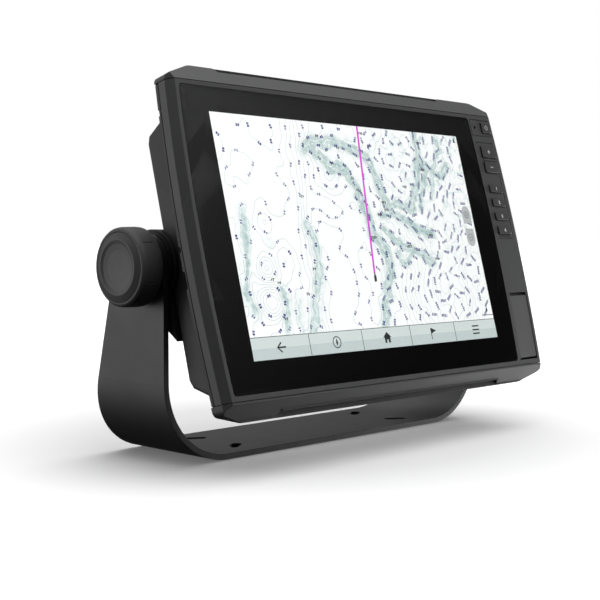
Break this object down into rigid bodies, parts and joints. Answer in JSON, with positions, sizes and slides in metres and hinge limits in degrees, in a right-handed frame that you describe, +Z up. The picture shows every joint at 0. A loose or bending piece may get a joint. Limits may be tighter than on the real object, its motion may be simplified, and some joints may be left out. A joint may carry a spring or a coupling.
{
  "type": "chartplotter display",
  "caption": "Marine chartplotter display on a bail bracket: wide screen in a bezel with side keys and card door, quick-release cradle and clamp knobs.",
  "frame": {"origin": "centre of the bail base's underside, on the surface it stands on", "axes": "+X to the right as seen by the user and along the tilt axis, +Y away from the user, +Z up; the screen faces -Y and leans back 14.8 degrees"},
  "size_m": [0.38, 0.1493, 0.2605],
  "materials": {
    "bail_coat": "satin black powder coat",
    "bezel_plastic": "fine textured charcoal moulding",
    "trim_plastic": "fine textured charcoal moulding",
    "case_plastic": "spark textured black moulding",
    "key_plastic": "smooth matt key caps with pale marks",
    "cover_glass": "clear hard glass",
    "black_print": "black border printed behind the glass",
    "screen": "lit chart picture",
    "white_sheet": "white diffuser",
    "rubber": "matt black rubber",
    "sheet_steel": "bright pressed sheet",
    "tinned_steel": "tinned sheet",
    "steel": "stainless steel",
    "aluminium": "bead blasted",
    "brass": "machined",
    "circuit_board": "green solder mask",
    "chip_black": "moulded black",
    "ribbon_film": "amber film",
    "ceramic": "fired ceramic patch",
    "smoked_window": "smoked window",
    "cradle_plastic": "glass filled black nylon",
    "socket_plastic": "black moulded socket",
    "nylon_black": "black nylon",
    "knob_rubber": "soft black grip",
    "knob_cap": "satin cap"
  },
  "bodies": {
    "bail": {"bail_bracket": "bail_coat"},
    "head": {"backlight": "white_sheet", "board_parts": "chip_black", "border_print": "black_print", "bottom_trim": "trim_plastic", "buzzer": "chip_black", "card_bay": "case_plastic", "card_door_pin": "steel", "card_sockets": "tinned_steel", "case_screws": "steel", "case_seal": "rubber", "chassis_plate": "aluminium", "cover_glass": "cover_glass", "cradle": "cradle_plastic", "cradle_pads": "rubber", "data_socket": "socket_plastic", "front_bezel": "bezel_plastic", "glass_seal": "rubber", "gps_antenna": "ceramic", "inner_screws": "steel", "keypad_board": "circuit_board", "keypad_mat": "rubber", "latch_pin": "steel", "lcd_panel": "screen", "left_cradle_insert": "brass", "left_friction_washer": "nylon_black", "lever_spring": "steel", "main_board": "circuit_board", "network_socket": "socket_plastic", "panel_bracket": "sheet_steel", "power_socket": "socket_plastic", "rear_case": "case_plastic", "ribbon_cables": "ribbon_film", "right_cradle_insert": "brass", "right_friction_washer": "nylon_black", "sensor_window": "smoked_window", "shield_can": "tinned_steel", "socket_pins": "brass", "sonar_socket": "socket_plastic", "top_trim": "trim_plastic", "vent_plug": "rubber"},
    "power_key": {"key_power": "key_plastic"},
    "zoom_in_key": {"key_zoom_in": "key_plastic"},
    "zoom_out_key": {"key_zoom_out": "key_plastic"},
    "number_key_1": {"key_1": "key_plastic"},
    "number_key_2": {"key_2": "key_plastic"},
    "number_key_3": {"key_3": "key_plastic"},
    "number_key_4": {"key_4": "key_plastic"},
    "card_flap": {"card_door": "bezel_plastic", "card_door_seal": "rubber"},
    "latch": {"release_lever": "cradle_plastic"},
    "left_knob_carrier": {"left_knob_washer": "nylon_black"},
    "left_knob": {"left_knob_grip": "knob_rubber", "left_knob_cap": "knob_cap", "left_knob_screw": "steel"},
    "right_knob_carrier": {"right_knob_washer": "nylon_black"},
    "right_knob": {"right_knob_grip": "knob_rubber", "right_knob_cap": "knob_cap", "right_knob_screw": "steel"}
  },
  "joints": [
    {"name": "head_tilt", "type": "hinge", "parent": "bail", "child": "head", "pos_m": [0, -0.022, 0.131], "axis": [1, 0, 0], "range_deg": [-35, 22]},
    {"name": "left_knob_travel", "type": "slide", "parent": "head", "child": "left_knob_carrier", "axis": [-1, 0, 0], "range_m": [0, 0.0025]},
    {"name": "left_knob_turn", "type": "hinge", "parent": "left_knob_carrier", "child": "left_knob", "pos_m": [-0.18, -0.022, 0.131], "axis": [-1, 0, 0], "range_deg": [0, 720]},
    {"name": "right_knob_travel", "type": "slide", "parent": "head", "child": "right_knob_carrier", "axis": [1, 0, 0], "range_m": [0, 0.0025]},
    {"name": "right_knob_turn", "type": "hinge", "parent": "right_knob_carrier", "child": "right_knob", "pos_m": [0.18, -0.022, 0.131], "axis": [1, 0, 0], "range_deg": [0, 720]},
    {"name": "power_key_press", "type": "slide", "parent": "head", "child": "power_key", "axis": [0, 0.9668, -0.2554], "range_m": [0, 0.0008], "stiffness_N_per_m": 1500},
    {"name": "zoom_in_key_press", "type": "slide", "parent": "head", "child": "zoom_in_key", "axis": [0, 0.9668, -0.2554], "range_m": [0, 0.0008], "stiffness_N_per_m": 1500},
    {"name": "zoom_out_key_press", "type": "slide", "parent": "head", "child": "zoom_out_key", "axis": [0, 0.9668, -0.2554], "range_m": [0, 0.0008], "stiffness_N_per_m": 1500},
    {"name": "number_key_1_press", "type": "slide", "parent": "head", "child": "number_key_1", "axis": [0, 0.9668, -0.2554], "range_m": [0, 0.0008], "stiffness_N_per_m": 1500},
    {"name": "number_key_2_press", "type": "slide", "parent": "head", "child": "number_key_2", "axis": [0, 0.9668, -0.2554], "range_m": [0, 0.0008], "stiffness_N_per_m": 1500},
    {"name": "number_key_3_press", "type": "slide", "parent": "head", "child": "number_key_3", "axis": [0, 0.9668, -0.2554], "range_m": [0, 0.0008], "stiffness_N_per_m": 1500},
    {"name": "number_key_4_press", "type": "slide", "parent": "head", "child": "number_key_4", "axis": [0, 0.9668, -0.2554], "range_m": [0, 0.0008], "stiffness_N_per_m": 1500},
    {"name": "card_door_hinge", "type": "hinge", "parent": "head", "child": "card_flap", "pos_m": [0.155, -0.10326, 0.05597], "axis": [1, 0, 0], "range_deg": [0, 90]},
    {"name": "release_lever_pull", "type": "hinge", "parent": "head", "child": "latch", "pos_m": [0, -0.04152, 0.07669], "axis": [1, 0, 0], "range_deg": [0, 14], "stiffness_Nm_per_rad": 0.3}
  ],
  "couplings": [
    {"joint": "left_knob_turn", "follows": "left_knob_travel", "rad_per_m": 5026.5},
    {"joint": "right_knob_turn", "follows": "right_knob_travel", "rad_per_m": 5026.5}
  ]
}
